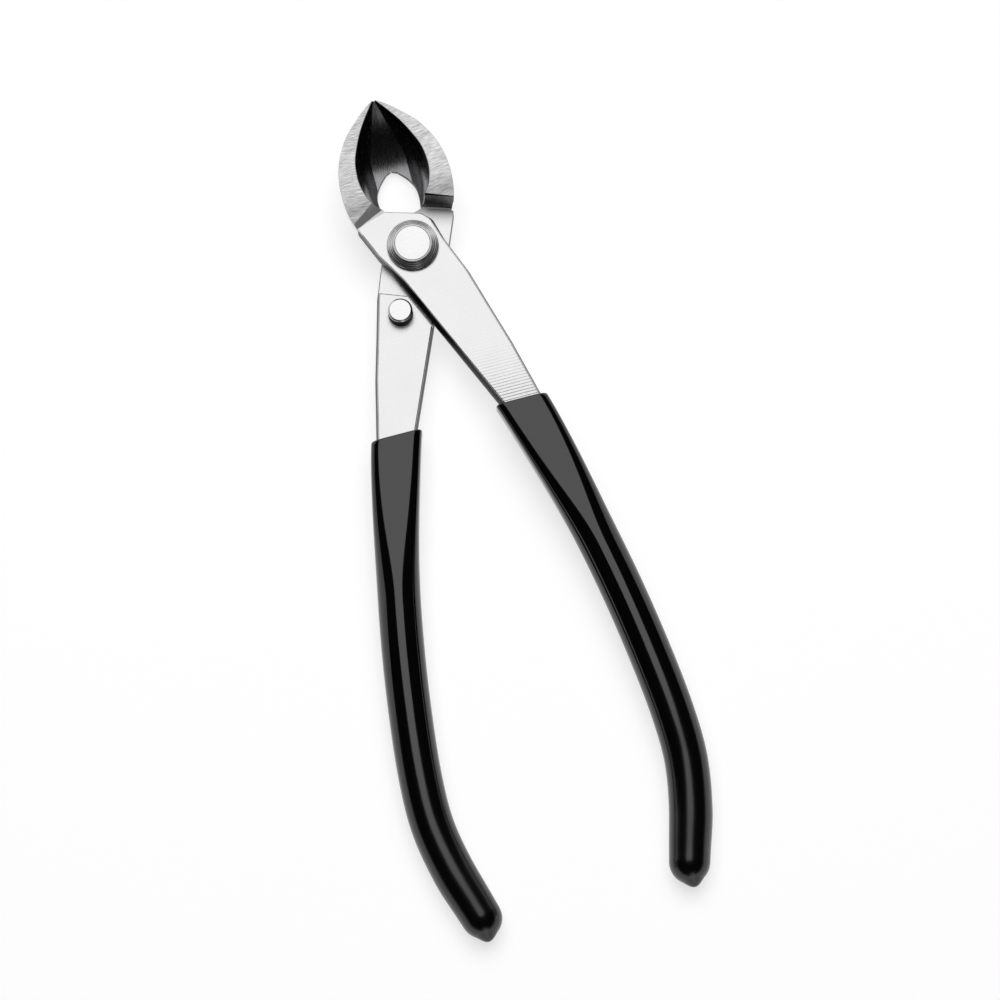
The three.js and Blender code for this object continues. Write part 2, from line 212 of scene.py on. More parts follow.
def painted_corner_shade(tree, place):
    """Painted shade, growing darker into the seat's corner."""
    shade_start, shade_full, fall_off = sweep_radius - 3.7, sweep_radius + 2, 1.6
    ahead = Vector((math.cos(seat_heading), math.sin(seat_heading), 0))
    reach = node(tree, "ShaderNodeVectorMath", {
        0: place, 1: ahead}, operation="DOT_PRODUCT").outputs["Value"]
    middle = pivot.x * ahead.x + pivot.y * ahead.y
    near = node(tree, "ShaderNodeMapRange", {
        "Value": reach, "From Min": middle + shade_start * MM,
        "From Max": middle + shade_full * MM}).outputs["Result"]
    return node(tree, "ShaderNodeMath", {0: near, 1: fall_off}, operation="POWER").outputs[0]


# Belts and files leave scratches some hundredths of a millimetre wide, too fine to show,
# so every pitch here is several times the real one.
# The flats are bright and even: satin that mirrors the studio softly.
satin = {"colours": ("bfbfc0", "c6c6c7"), "roughness": 0.28, "pitch": 0.25, "depth": 0.0012}
satin_steel = ground_steel("satin ground steel", heading=10, **satin)
# The upper stem has a row of level ridges over that satin.
marked_steel = ground_steel(
    "satin steel with cutter marks", heading=8, marks=cutter_marks, **satin)
# The seat is painted darker into its corner, as shade.
seat_steel = ground_steel(
    "ground steel with painted shade in its corner", heading=10, shade_mask=painted_corner_shade, **satin)
# The rims are pale and grainy, with scratches across the edge that catch the light.
left_rim_steel, right_rim_steel = (
    ground_steel(name, ("9c9c9d", "ffffff"), 0.44, heading, 0.17, 0.005)
    for name, heading in (("belt ground left rim", -5), ("belt ground right rim", 9)))
# The hollow is smooth, with long scratches up its wall, and its colour is painted darker than the
# flats as shade.
hollow_steel = ground_steel("hollow ground steel", ("747475", "98989a"), 0.26, 80, 0.25, 0.003)
# Filed faces are coarse and dull, and shade off softly.
filed_steel = ground_steel("filed steel", ("a0a0a2", "d8d8da"), 0.7, 75, 0.3, 0.006)
# A lighter copy of the filed steel: painted highlight on the upper lever's ramp.
highlit_filed_steel = ground_steel(
    "filed steel painted lighter as highlight", ("f0f0f1", "ffffff"), 0.62, 75, 0.3, 0.006)
# Nearly black, faintly pitted steel, painted where shade falls: flanks, walls, the seam and the
# hollow's top.
painted_shade_steel = ground_steel("steel painted nearly black as shade", painted_shade_tones, 0.42, 75, 0.3, 0.006)
finishes = [satin_steel, left_rim_steel, hollow_steel, filed_steel, painted_shade_steel, seat_steel]
SATIN, RIM, HOLLOW, FILED, PAINTED_SHADE, SEAT = range(6)

# Sizes are in millimetres from the pivot axis and the table.
tip_reach = (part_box("lower_lever")[1].y - pivot.y) / MM
blade_heel = 5.6
blade_half_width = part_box("lower_lever")[1].x / MM
blade_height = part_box("lower_lever")[1].z / MM
opening_half_width = 5.0
blade_gap, thinnest, tiny = 0.003, 0.1, 1e-9
heel_rise = 3.5
facet_width, facet_slope = 4.3, 0.14
wall_slope, wall_swell = 0.85, (0.62, 0.97)
floor_level, floor_bend = 1.9, 1.0
land = 0.4
wall_roundness = 2.3
rim_chamfer = 0.12
# Near the tip the facet's foot and the wall's rise are held to these shares.
foot_out, foot_up, wall_up = 0.6, 0.5, 0.6

# Along the blade, from its heel at 0 to its tip at 1: shares of its width, of its opening
# and of its height.
outer_rim_shares = [
    (0, 0.813), (0.075, 0.903), (0.168, 0.97), (0.292, 1), (0.441, 0.978),
    (0.597, 0.873), (0.755, 0.672), (0.881, 0.396), (0.957, 0.194), (1, 0.052)]
inner_rim_shares = [
    (0, 0.321), (0.143, 0.336), (0.174, 0.433), (0.217, 0.522), (0.27, 0.582), (0.339, 0.627),
    (0.432, 0.642), (0.556, 0.604), (0.68, 0.493), (0.789, 0.366), (0.898, 0.201), (1, 0.022)]
opening_shares = [
    (0, 0.84), (0.143, 0.86), (0.199, 0.92), (0.261, 0.98), (0.323, 1), (0.385, 0.94),
    (0.435, 0.78), (0.478, 0.56), (0.522, 0.26), (0.559, 0), (1, 0)]
outer_height_shares = [
    (0, 0.9), (0.15, 0.932), (0.292, 0.962), (0.54, 0.942), (0.789, 0.878), (1, 0.83)]
inner_height_shares = [(0, 0.965), (0.292, 1), (0.54, 0.963), (0.789, 0.894), (1, 0.838)]
bowl_lowest_share = 0.261
tip_rise_share = 0.777


def lerp(a, b, share):
    """The value a share of the way from a to b."""
    return a + (b - a) * share


def smoothstep(value, low, high):
    """From 0 at low to 1 at high, easing in and out."""
    share = min(1, max(0, (value - low) / (high - low)))
    return share * share * (3 - 2 * share)


def spline(points, share):
    """A point on the smooth curve through the points, which are vectors."""
    spot = share * (len(points) - 1)
    i = min(int(spot), len(points) - 2)
    w = spot - i
    before, start, end, after = (
        points[max(i - 1, 0)], points[i], points[i + 1], points[min(i + 2, len(points) - 1)])
    leave, arrive = (end - before) / 2, (after - start) / 2
    return (
        (2 * start - 2 * end + leave + arrive) * w ** 3
        + (3 * end - 3 * start - 2 * leave - arrive) * w ** 2
        + leave * w + start)


def smooth(shares):
    """A share as a function of the way along, read off a smooth curve through the pairs."""
    points, halvings = [Vector(pair) for pair in shares], 40

    def read(way):
        """The share at this way along, found by halving."""
        low, high = 0, 1
        for _ in range(halvings):
            middle = (low + high) / 2
            if spline(points, middle).x < way:
                low = middle
            else:
                high = middle
        return spline(points, low).y
    return read


outer_rim, inner_rim, opening, outer_height, inner_height = map(smooth, (
    outer_rim_shares, inner_rim_shares, opening_shares, outer_height_shares, inner_height_shares))


def far_side(y):
    """Height of the bowl's outside over the table along its middle."""
    lowest = lerp(blade_heel, tip_reach, bowl_lowest_share)
    if y < lowest:
        back = min(1, (lowest - y) / (lowest - blade_heel))
        return heel_rise * (1 - math.sqrt(1 - back * back))
    run, rise = tip_reach - lowest, blade_height * tip_rise_share
    radius = (run ** 2 + rise ** 2) / (2 * rise)
    return radius - math.sqrt(radius ** 2 - (y - lowest) ** 2)


def floor_height(y, low):
    """The hollow's floor: level over the opening, then rising at even thickness."""
    over_tip = low + land - floor_level
    return floor_level + (over_tip + math.sqrt(over_tip ** 2 + floor_bend)) / 2


def hollow_height(x, floor, wall):
    """Height of the hollow at x: a facet beside the seam, and then the wall."""
    if x <= wall[0][0]:
        return floor + x * facet_slope
    after = next((k for k, point in enumerate(wall) if point[0] >= x), len(wall) - 1)
    (x0, z0), (x1, z1) = wall[after - 1], wall[after]
    return lerp(z0, z1, (x - x0) / (x1 - x0))


# Columns of faces run down round the outside, then up the hollow and over the rim.
# The highest of the hollow's columns are painted nearly black as the shade under the rim.
outside_steps, facet_steps, wall_steps, curve_steps = 32, 6, 18, 60
dark_columns = 6
rim_column = outside_steps + facet_steps + wall_steps + 2
first_dark = rim_column - 1 - dark_columns


def blade_section(way):
    """Half of the bowl, cut across: outside wall, land, facet and hollow wall up to the rim."""
    y = lerp(blade_heel, tip_reach, way)
    low = far_side(y)
    edge = max(blade_gap, opening_half_width * opening(way))
    outer = blade_half_width * outer_rim(way)
    inner = min(outer, max(edge + thinnest, blade_half_width * inner_rim(way)))
    outer_top = blade_height * outer_height(way)
    inner_top = blade_height * inner_height(way)
    power = 2 / wall_roundness
    chamfer = min(rim_chamfer, (outer - inner) / 4)
    section = []
    for i in range(outside_steps + 1):
        quarter = i / outside_steps * math.pi / 2
        section.append((
            lerp(edge, outer, math.cos(quarter) ** power if i < outside_steps else 0),
            lerp(outer_top - chamfer, low, math.sin(quarter) ** power)))

    # The facet's foot comes in and down where the blade is too small for it.
    foot_x = min(facet_width, inner * foot_out)
    floor = floor_height(y, low)
    foot_z = min(floor + foot_x * facet_slope, lerp(low, inner_top, foot_up))
    floor = foot_z - foot_x * facet_slope
    run = inner - foot_x
    rise = min(run * wall_slope, (inner_top - foot_z) * wall_up)
    wall = []
    for i in range(curve_steps + 1):
        t = i / curve_steps
        swell = 3 * t * (1 - t) ** 2 * wall_swell[0] + 3 * t * t * (1 - t) * wall_swell[1]
        wall.append((
            foot_x + run * (swell + t ** 3),
            foot_z + rise * swell + t ** 3 * (inner_top - chamfer - foot_z)))
    start = max(edge, foot_x)
    for i in range(facet_steps):
        x = lerp(edge, start, i / facet_steps)
        section.append((x, hollow_height(x, floor, wall)))

    # The wall's columns are spaced evenly in height, where it is steep.
    above = next(k for k, point in enumerate(wall) if point[0] >= start - tiny)
    step = max(tiny, wall[above][0] - wall[max(above - 1, 0)][0])
    first = max(0, above - (wall[above][0] - start) / step)
    for i in range(wall_steps + 1):
        spot = lerp(first, curve_steps, i / wall_steps)
        k = min(int(spot), curve_steps - 1)
        section.append(tuple(lerp(a, b, spot - k) for a, b in zip(wall[k], wall[k + 1])))
    section.append((inner + chamfer, inner_top))
    section.append((outer - chamfer, outer_top))
    return [(x, y, z) for x, z in section]


def blade_finish(column, row):
    """Which finish a face has, by its place round the section; the land at the seam and the top of
    the hollow's wall take painted shade.
    """
    if column == outside_steps or first_dark <= column < rim_column - 1:
        return PAINTED_SHADE
    if outside_steps < column < first_dark:
        return HOLLOW
    return RIM if column == rim_column else SATIN


merge_distance = 1e-7


def skin(rings, finish=lambda column, row: 0):
    """A closed bmesh over rings of equal length, in millimetres from the pivot axis."""
    columns, rows = len(rings[0]), len(rings) - 1
    shape = bmesh.new()
    bmesh.ops.create_grid(shape, x_segments=columns, y_segments=rows, size=1)
    for face in shape.faces:
        middle = face.calc_center_median()
        face.material_index = finish(
            int((middle.x + 1) / 2 * columns), int((middle.y + 1) / 2 * rows))
    for vert in shape.verts:
        column = round((vert.co.x + 1) / 2 * columns) % columns
        row = round((vert.co.y + 1) / 2 * rows)
        x, y, z = rings[row][column]
        vert.co = (x * MM + pivot.x, y * MM + pivot.y, z * MM)
    bmesh.ops.remove_doubles(shape, verts=shape.verts, dist=merge_distance)
    bmesh.ops.edgeloop_fill(shape, edges=[edge for edge in shape.edges if edge.is_boundary])
    bmesh.ops.recalc_face_normals(shape, faces=shape.faces)
    return shape


def body_of(name, shape, materials=()):
    """An object with the bmesh as its mesh, at the origin."""
    mesh = bpy.data.meshes.new(name)
    shape.to_mesh(mesh)
    shape.free()
    mesh.shade_smooth()
    for material in materials:
        mesh.materials.append(material)
    made = bpy.data.objects.new(name, mesh)
    bpy.context.scene.collection.objects.link(made)
    return made


def carve(target, tool, operation="DIFFERENCE"):
    """Cuts the tool from the target, or joins the two, and removes the tool."""
    modifier = target.modifiers.new("carve", "BOOLEAN")
    modifier.object, modifier.operation, modifier.solver = tool, operation, "EXACT"
    carved = bpy.data.meshes.new_from_object(
        target.evaluated_get(bpy.context.evaluated_depsgraph_get()))
    target.modifiers.clear()
    target.data = carved
    bpy.data.objects.remove(tool)
    return target


blade_rows, tip_crowding = 90, 0.9


def blade(side):
    """One half of the bowl, with its rings closer together towards the tip."""
    ways = [
        math.sin(i / blade_rows * math.pi / 2) ** tip_crowding for i in range(blade_rows + 1)]
    rings = [[(side * x, y, z) for x, y, z in blade_section(way)] for way in ways]
    return body_of("blade", skin(rings, blade_finish), finishes)


bore_sides = 96


def drum(radius, low, high, place=(0, 0)):
    """An upright cylinder for cutting a bore or a sweep."""
    shape = bmesh.new()
    bmesh.ops.create_cone(
        shape, cap_ends=True, segments=bore_sides, radius1=radius * MM, radius2=radius * MM,
        depth=(high - low) * MM)
    bmesh.ops.translate(shape, verts=shape.verts, vec=(
        place[0] * MM + pivot.x, place[1] * MM + pivot.y, (low + high) / 2 * MM))
    return body_of("drum", shape, finishes)


# Cuts are this wide to either side, and pass this far beyond a face.
cut_width, beyond = 62, 5.0


def slab(profile, heading, finish):
    """A side profile (forward, height) swept level along a line square to the heading."""
    ahead = (math.cos(heading), math.sin(heading))
    rings = [[
        (s * ahead[0] - across * ahead[1], s * ahead[1] + across * ahead[0], z)
        for s, z in profile] for across in (-cut_width, cut_width)]
    return body_of("slab", skin(rings, finish), finishes)


# Plan of a lap and stem, drawn for the upper lever, whose handle goes to +X.
lap_side, lap_front, lap_thickness = 8.3, 10.1, 5.0
stem_thickness = 6.0
lip_reach, stem_lip_width, lip_offset = 43.0, 10.0, 15.3
lap_height = pivot.z / MM
lower_base, upper_top = lap_height - lap_thickness, lap_height + lap_thickness
upper_base, lower_top = upper_top - stem_thickness, lower_base + stem_thickness
slide_gap, running_gap, lip_margin = 0.05, 0.07, 0.1
# Cuts that would meet in one plane are held this far apart.
cut_apart = 0.006


def lap_point(x_share, y_share):
    """A point as shares of the lap's half width and of its reach forwards."""
    return Vector((x_share * lap_side, y_share * lap_front))


stem_end = -(lip_reach - lip_margin)
inner_start = lap_point(-0.867, -0.257)
inner_end = Vector((lip_offset - stem_lip_width / 2, stem_end))
outer_end = Vector((lip_offset + stem_lip_width / 2, stem_end))
outer_start = lap_point(0.94, 0.03)
outer_shares = [(0.289, 0.215), (0.5, 0.435), (0.727, 0.667), (1, 1)]
under_lip = Vector((1.6, -4.3))
inner_flare = {-1: 0.3, 1: 0.7}


def bar_outline(side):
    """Corners of the lap and stem as (point, corner radius, flank's flare)."""
    outer = [
        Vector((lerp(outer_start.x, outer_end.x, x), lerp(outer_start.y, outer_end.y, y)))
        for x, y in outer_shares]
    inner_edge = inner_end - inner_start
    flare = inner_flare[side]
    return [
        (lap_point(-1.145, 0.85), 0.8, 0), (lap_point(-0.542, 1), 1.2, 0),
        (lap_point(0.506, 0.772), 2.2, 0.35), (lap_point(0.759, 0.584), 2.5, 0.6),
        (outer_start, 3, 0.45), (outer[0], 4, 0.5), (outer[1], 4, 0.5), (outer[2], 4, 0.5),
        (outer[3], 0, 0.5), (outer_end + under_lip, 0, 0.5),
        (inner_end + under_lip, 0, flare), (inner_end, 0, flare),
        (inner_start + inner_edge * 0.45, 4, flare), (inner_start + inner_edge * 0.14, 2, flare),
        (lap_point(-0.795, -0.376), 1.5, 0.1), (lap_point(-1.03, -0.04), 1.5, 0),
        (lap_point(-1.425, 0.742), 0.3, 0)]


def inset(corners, flare_share, margin):
    """The outline drawn in by a share of each corner's own flare, and by a margin."""
    moved = []
    for i, (point, radius, flare) in enumerate(corners):
        before, after = corners[i - 1][0], corners[(i + 1) % len(corners)][0]
        come, leave = (point - before).normalized(), (after - point).normalized()
        inward = (Vector((come.y, -come.x)) + Vector((leave.y, -leave.x))) / 2
        inward /= inward.length_squared
        moved.append((point + inward * (flare * flare_share + margin), radius))
    return moved


corner_steps, corner_limit = 5, 0.45


def rounded(corners):
    """Points round the outline, with each corner drawn as an arc of its own radius."""
    points = []
    for i, (point, radius) in enumerate(corners):
        before, after = corners[i - 1][0], corners[(i + 1) % len(corners)][0]
        come, leave = (before - point), (after - point)
        bend = math.pi - come.angle(leave)
        reach = min(
            radius * math.tan(bend / 2), come.length * corner_limit, leave.length * corner_limit)
        start, end = point + come.normalized() * reach, point + leave.normalized() * reach
        for k in range(corner_steps + 1):
            t = k / corner_steps
            points.append((1 - t) ** 2 * start + 2 * t * (1 - t) * point + t * t * end)
    return points


# From half thickness out to the face: the flank's share of its flare, how far the broken
# edge is drawn in, and the depth under the face. The rows next to a face are ground bright.
edge_rings = [
    (0, 0, stem_thickness / 2), (0, 0, 2.3), (0.5, 0, 1.35), (1, 0, 0.45), (1, 0.03, 0.28),
    (1, 0.1, 0.14), (1, 0.2, 0.05), (1, 0.32, 0)]
ground_rows = 3


def bar_finish(column, row):
    """Painted shade on the flank, between the ground edges above and below it."""
    return PAINTED_SHADE if ground_rows <= row < 2 * len(edge_rings) - 2 - ground_rows else SATIN


def bar(base, side):
    """The lap and stem as one plate: drafted flanks and a rounded edge above and below."""
    corners = bar_outline(side)
    below = [rounded(inset(corners, share, margin)) for share, margin, _ in edge_rings]
    rings = []
    for ring, (_, _, z) in zip(reversed(below), reversed(edge_rings)):
        rings.append([(side * p.x, p.y, base + z) for p in ring])
    for ring, (_, _, z) in list(zip(below, edge_rings))[1:]:
        rings.append([(side * p.x, p.y, base + stem_thickness - z) for p in ring])
    return body_of("bar", skin(rings, bar_finish), finishes)


def beside_stem(behind, off):
    """A point behind the start of the stem's inner edge, off to its free side."""
    ahead = (inner_end - inner_start).normalized()
    return inner_start + ahead * behind + Vector((ahead.y, -ahead.x)) * off


step_back, step_off, step_turn, step_break = 8.3, 0.55, 0.375, 0.35


def step_finish(column, row):
    """The step's broken edge, its second row, is painted dark as shade."""
    return PAINTED_SHADE if row == 1 else SATIN


def thinning(side, low, high, step_edge):
    """What is cut to half thickness, up to a step behind the pivot with a broken edge."""
    rings = []
    for z, back in (
            (low, 0), (step_edge - step_break, 0), (step_edge, step_break), (high, step_break)):
        corner, far = beside_stem(step_back + back, step_off), beside_stem(lip_reach, step_off)
        outline = [
            (-cut_width, corner.y + (cut_width + corner.x) * math.tan(step_turn)),
            tuple(corner), tuple(far), (cut_width, far.y), (cut_width, cut_width),
            (-cut_width, cut_width)]
        rings.append([(side * x, y, z) for x, y in outline])
    return body_of("thinning", skin(rings, step_finish), finishes)


# The handle's line and section, shared by the bars and the grips over them. The line is
# given from before the lip to its end, as shares of the spread and of the reach.
handle_reach = (pivot.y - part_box("lower_grip")[0].y) / MM
grip_width = 10.2
handle_spread = 30.5
grip_wall = 1.0
lip_width, lip_thickness = stem_lip_width + 2 * grip_wall, stem_thickness + 2 * grip_wall
handle_shares = [
    (-0.171, -0.058), (0, 0), (0.336, 0.157), (0.66, 0.347), (0.868, 0.512),
    (0.997, 0.669), (1, 0.76), (0.875, 0.851), (0.7, 0.926), (0.52, 1)]


def bowed(points, share):
    """A point on the curve through unevenly spaced points, without overshooting them."""
    spot = share * (len(points) - 1)
    i = min(int(spot), len(points) - 2)
    w = spot - i
    start, end = points[i], points[i + 1]
    before = points[i - 1] if i else 2 * start - end
    after = points[i + 2] if i + 2 < len(points) else 2 * end - start
    a, b, c = (math.sqrt((q - p).length) for p, q in ((before, start), (start, end), (end, after)))
    leave = ((start - before) / a - (end - before) / (a + b) + (end - start) / b) * b
    arrive = ((end - start) / b - (after - start) / (b + c) + (after - end) / c) * b
    return (
        (2 * start - 2 * end + leave + arrive) * w ** 3
        + (3 * end - 3 * start - 2 * leave - arrive) * w ** 2
        + leave * w + start)


line_steps, heading_steps = 2000, 8


def handle_line(side, start_height):
    """The middle of a handle as a function of the share of its length, and its length."""
    last = len(handle_shares) - 2
    points = [Vector((
        side * lerp(lip_offset, handle_spread, out),
        -lerp(lip_reach, handle_reach, back),
        lerp(start_height, grip_width / 2, smoothstep(i, 0, last))))
        for i, (out, back) in enumerate(handle_shares)]
    dense = [bowed(points, i / line_steps) for i in range(line_steps + 1)]
    lengths = [0]
    for a, b in zip(dense, dense[1:]):
        lengths.append(lengths[-1] + (b - a).length)

    def at(share):
        """The point at this share of the length, and the line's heading there."""
        wanted = share * lengths[-1]
        i = min(max(sum(length < wanted for length in lengths), 1), line_steps)
        step = lengths[i] - lengths[i - 1]
        spot = dense[i - 1].lerp(dense[i], (wanted - lengths[i - 1]) / step)
        a, b = dense[max(i - heading_steps, 0)], dense[min(i - 1 + heading_steps, line_steps)]
        return spot, (b - a).normalized()
    return at, lengths[-1]


# Up to the first share the section is nearly a flat bar, and from the second on it is round.
flat_until, round_from = 0.05, 0.36
flat_exponent, round_exponent = 5, 2


def handle_ring(at, share, inset_by, fullness, sides, square=0.0):
    """A ring round the handle, turned square to the length of the tool where asked."""
    centre, ahead = at(share)
    across = ahead.cross(Vector((0, 0, 1))).normalized()
    up = across.cross(ahead)
    rounding = smoothstep(share, flat_until, round_from)
    width = fullness * (lerp(lip_width, grip_width, rounding) - 2 * inset_by)
    height = fullness * (lerp(lip_thickness, grip_width, rounding) - 2 * inset_by)
    power = 2 / lerp(flat_exponent, round_exponent, rounding)
    ring = []
    for j in range(sides):
        angle = j / sides * 2 * math.pi
        x = math.copysign(abs(math.cos(angle)) ** power, math.cos(angle)) * width / 2
        z = math.copysign(abs(math.sin(angle)) ** power, math.sin(angle)) * height / 2
        point = centre + across * x + up * z
        point += ahead * (centre.y - point.y) / ahead.y * square
        ring.append(point)
    return ring


bar_start, bar_end, bar_rows, bar_sides = 0.075, 0.95, 40, 32


def handle_bar(side, base):
    """The forged bar inside the grip."""
    at, _ = handle_line(side, base + stem_thickness / 2)
    rings = []
    for i in range(bar_rows + 1):
        share = lerp(bar_start, bar_end, i / bar_rows)
        rings.append([tuple(p) for p in handle_ring(at, share, grip_wall, 1, bar_sides)])
    return body_of("handle_bar", skin(rings, lambda column, row: PAINTED_SHADE), finishes)


crease_angle = math.radians(28)


def forging(name, node_name, body, shape):
    """Gives a finished lever its name, its smooth faces and its place on a body."""
    shape.name = name
    shape.data.set_sharp_from_angle(angle=crease_angle)
    weighted = shape.modifiers.new("flat faces", "WEIGHTED_NORMAL")
    weighted.keep_sharp = True
    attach(shape, body)
    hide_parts(node_name)


rivet_radius = 3.8
pin_radius, pin_back, pin_space = 2.95, 11.0, 1.5
pin_place = tuple(beside_stem(pin_back, pin_radius + pin_space))

# The seat in front of the lower lap: flat, then a fillet, then a wall up to the rim.
seat_rise = [
    (0.95, 0), (1.35, 0.03), (1.65, 0.12), (1.95, 0.35), (2.25, 0.9), (2.45, 2), (2.6, 3.7),
    (2.65, 5.6)]
seat_steps, ground_steps, seat_top = 24, 7, 12
seat_profile = [(-sweep_radius, 0)]
for i in range(seat_steps + 1):
    spot = spline([Vector(pair) for pair in seat_rise], i / seat_steps)
    seat_profile.append((sweep_radius + spot.x, spot.y))
seat_profile.append((sweep_radius + seat_rise[-1][0], seat_top))
seat_profile.append((-sweep_radius, seat_top))
seat_profile = [(s, z + lap_height - slide_gap - cut_apart) for s, z in seat_profile]


def seat_finish(column, row):
    """The flat and the fillet's foot are ground, the wall over them is filed, and the wall's top is
    painted dark as the shadow under the rim.
    """
    if column <= ground_steps:
        return SEAT
    return FILED if column <= seat_steps else PAINTED_SHADE


lower = bar(lower_base, -1)
lower_thinning = thinning(1, lap_height - slide_gap, lower_top + beyond, lower_top)
# The thinned lap's flat takes the tool's underside, and has the seat's finish.
facing_down = -0.9
for face in lower_thinning.data.polygons:
    if face.normal.z < facing_down:
        face.material_index = SEAT
carve(lower, lower_thinning)
carve(lower, carve(blade(1), slab(seat_profile, seat_heading, seat_finish)), "UNION")
carve(lower, handle_bar(-1, lower_base), "UNION")
carve(lower, drum(rivet_radius + running_gap, -beyond, upper_top + beyond))
carve(lower, drum(pin_radius + slide_gap, -beyond, upper_top, pin_place))
forging("lower_forging", "lower_lever", "lower", lower)
lower.data.materials[RIM] = right_rim_steel

# The ramp that rises from the upper lap to the left blade's rim, along this heading.
ramp_heading, ramp_reach, ramp_lean = math.pi / 2 + 0.43, 11.69, 0.92
ramp_foot, ramp_rise = upper_top - cut_apart, blade_height + beyond - upper_top
ramp_profile = [
    (-ramp_reach, ramp_foot), (ramp_reach, ramp_foot),
    (ramp_reach + ramp_rise * ramp_lean, ramp_foot + ramp_rise),
    (-ramp_reach, ramp_foot + ramp_rise)]

upper = bar(upper_base, 1)
# The upper lever is thinned from below: the tool is made upside down, and turned over.
upper_thinning = thinning(-1, -(lap_height + slide_gap), beyond, -upper_base)
for vert in upper_thinning.data.vertices:
    vert.co.z = -vert.co.z
upper_thinning.data.flip_normals()
carve(upper, upper_thinning)
left_blade = carve(blade(-1), slab(ramp_profile, ramp_heading, lambda column, row: FILED))
carve(left_blade, drum(sweep_radius, -beyond, lap_height + slide_gap + cut_apart))
carve(upper, left_blade, "UNION")
carve(upper, handle_bar(1, upper_base), "UNION")
carve(upper, drum(rivet_radius + running_gap, -beyond, upper_top + beyond))
forging("upper_forging", "upper_lever", "upper", upper)
upper.data.materials[SATIN] = marked_steel
# The ramp takes the filed steel painted lighter as highlight.
upper.data.materials[FILED] = highlit_filed_steel


# Washers
# Two turned steel washers with a low wall and a broad bevel lie under the rivet's ends.
# The lathe left fine rings on them, and the eye sees them darker than the levers.
def turned_steel(name, colours, roughness, ring_pitch, depth):
    """Steel turned on a lathe: rings of a pitch and depth in mm round the pivot.

    Real rings are finer than the picture can show, so these are drawn coarser.
    """
    material, tree, shader = finish_of(name)
    shader.inputs["Metallic"].default_value = 1
    place = node(tree, "ShaderNodeTexCoord").outputs["Object"]
    centred = node(tree, "ShaderNodeMapping", {
        "Vector": place, "Location": (-pivot.x, -pivot.y, 0)}).outputs["Vector"]
    rings = node(tree, "ShaderNodeTexWave", {
        "Vector": centred, "Scale": wave_period / (ring_pitch * MM), "Distortion": 1.2,
        "Detail": 2, "Detail Scale": 0.6}, wave_type="RINGS", rings_direction="Z").outputs["Fac"]
    bump = node(tree, "ShaderNodeBump", {
        "Height": rings, "Strength": 0.6, "Distance": depth * MM}).outputs["Normal"]
    uneven = node(tree, "ShaderNodeMapRange", {
        "Value": rings, "To Min": roughness - 0.06, "To Max": roughness + 0.08}).outputs["Result"]
    dark, light = (tone(colour) for colour in colours)
    mixed = node(tree, "ShaderNodeMix", {
        0: rings, 6: dark, 7: light}, data_type="RGBA").outputs[2]
    tree.links.new(mixed, shader.inputs["Base Color"])
    tree.links.new(bump, shader.inputs["Normal"])
    tree.links.new(uneven, shader.inputs["Roughness"])
    return material


washer_steel = turned_steel("turned steel", ("a6a6a7", "f3f3f4"), 0.3, 0.4, 0.026)
washer_radius, washer_thickness = 6.15, 2.4
washer_wall, bevel_in, bevel_foot, mouth_land = 1.1, 0.3, 1.28, 0.25
rivet_head_radius, spread_depth = 4.2, 0.9
turned_sides, turned_crease, steepest_wall = 128, math.radians(35), 0.3


def turning(profile, centre):
    """A profile of (radius, height) turned round an upright axis through the centre."""
    shape = bmesh.new()
    corners = [shape.verts.new((
        centre[0] * MM + pivot.x + r * MM, centre[1] * MM + pivot.y, z * MM)) for r, z in profile]
    edges = [shape.edges.new(pair) for pair in zip(corners, corners[1:])]
    bmesh.ops.spin(
        shape, geom=corners + edges, angle=2 * math.pi, steps=turned_sides, use_merge=True,
        axis=(0, 0, 1), cent=(centre[0] * MM + pivot.x, centre[1] * MM + pivot.y, 0))
    bmesh.ops.remove_doubles(shape, verts=shape.verts, dist=merge_distance)
    bmesh.ops.recalc_face_normals(shape, faces=shape.faces)
    return shape


soften_steps, soften_limit = 3, 0.4


def softened(profile, radius):
    """The profile with its inner corners cut by small arcs."""
    points = [Vector(p) for p in profile]
    result = [points[0]]
    for before, point, after in zip(points, points[1:], points[2:]):
        come, leave = before - point, after - point
        reach = min(radius, come.length * soften_limit, leave.length * soften_limit)
        start, end = point + come.normalized() * reach, point + leave.normalized() * reach
        for k in range(soften_steps + 1):
            t = k / soften_steps
            result.append((1 - t) ** 2 * start + 2 * t * (1 - t) * point + t * t * end)
    result.append(points[-1])
    return result


def turned_piece(name, node_name, profile, material, centre=(0, 0)):
    """A turned piece with its wall painted darker than its faces, as shade."""
    made = body_of(name, turning(profile, centre), [material, painted_shade_steel])
    for face in made.data.polygons:
        if abs(face.normal.z) < steepest_wall:
            face.material_index = 1
    made.data.set_sharp_from_angle(angle=turned_crease)
    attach(made, "lower")
    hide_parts(node_name)


def washer_profile(seat, up):
    """From the bore's foot out over the wall and the bevel to the mouth, and closed."""
    bore, mouth = rivet_radius + running_gap, rivet_head_radius + running_gap
    corners = [
        (bore, 0), (washer_radius, 0), (washer_radius, washer_wall),
        (washer_radius - bevel_in, bevel_foot), (mouth + mouth_land, washer_thickness),
        (mouth, washer_thickness), (bore, washer_thickness - spread_depth), (bore, 0)]
    broken_edge = 0.12
    return [(r, seat + up * z) for r, z in softened(corners, broken_edge)]


turned_piece(
    "front_bevel_washer", "front_washer", washer_profile(upper_top + slide_gap, 1), washer_steel)
turned_piece(
    "back_bevel_washer", "back_washer", washer_profile(lower_base - slide_gap, -1), washer_steel)


